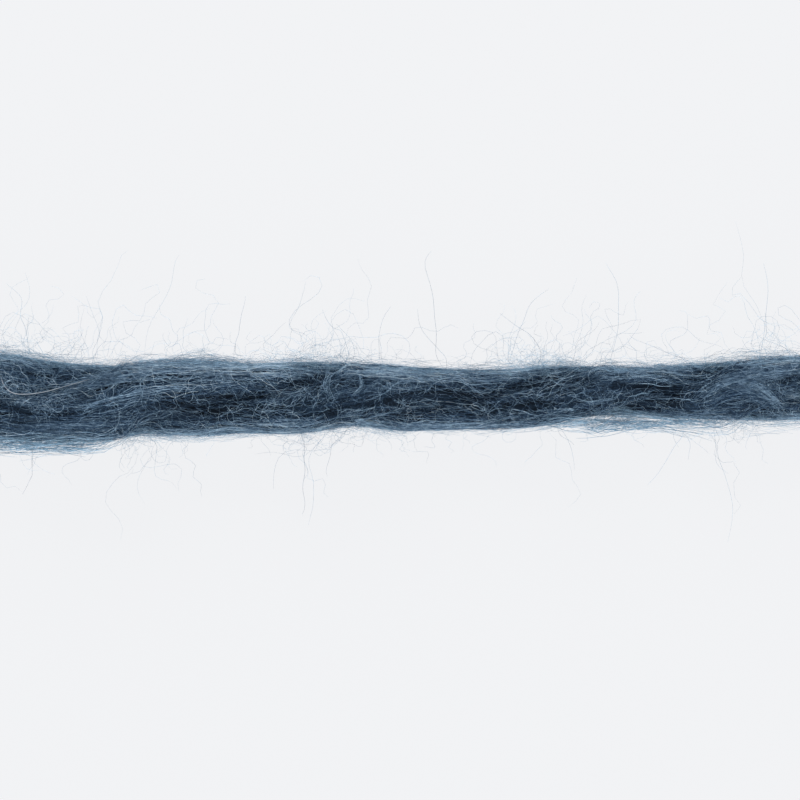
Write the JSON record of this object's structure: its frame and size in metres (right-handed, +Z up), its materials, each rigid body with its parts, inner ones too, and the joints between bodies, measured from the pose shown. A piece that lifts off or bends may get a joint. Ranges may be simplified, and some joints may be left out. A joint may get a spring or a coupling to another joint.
{
  "type": "knitting yarn, short cut length of one strand",
  "caption": "Soft, fuzzy strand of loosely plied knitting yarn, lying straight on a surface, with swellings, necks and stray locks of fibre.",
  "frame": {"origin": "on the flat underside of the strand, below its middle, at half of its cut length", "axes": "+X along the strand, +Z up from the surface it lies on, +Y to its left side seen along +X"},
  "size_m": [0.072, 0.0245, 0.0088],
  "materials": {
    "dyed_wool": "matt dyed wool with a soft halo of loose fibres"
  },
  "bodies": {
    "root": {"yarn_strand": "dyed_wool"}
  },
  "joints": []
}
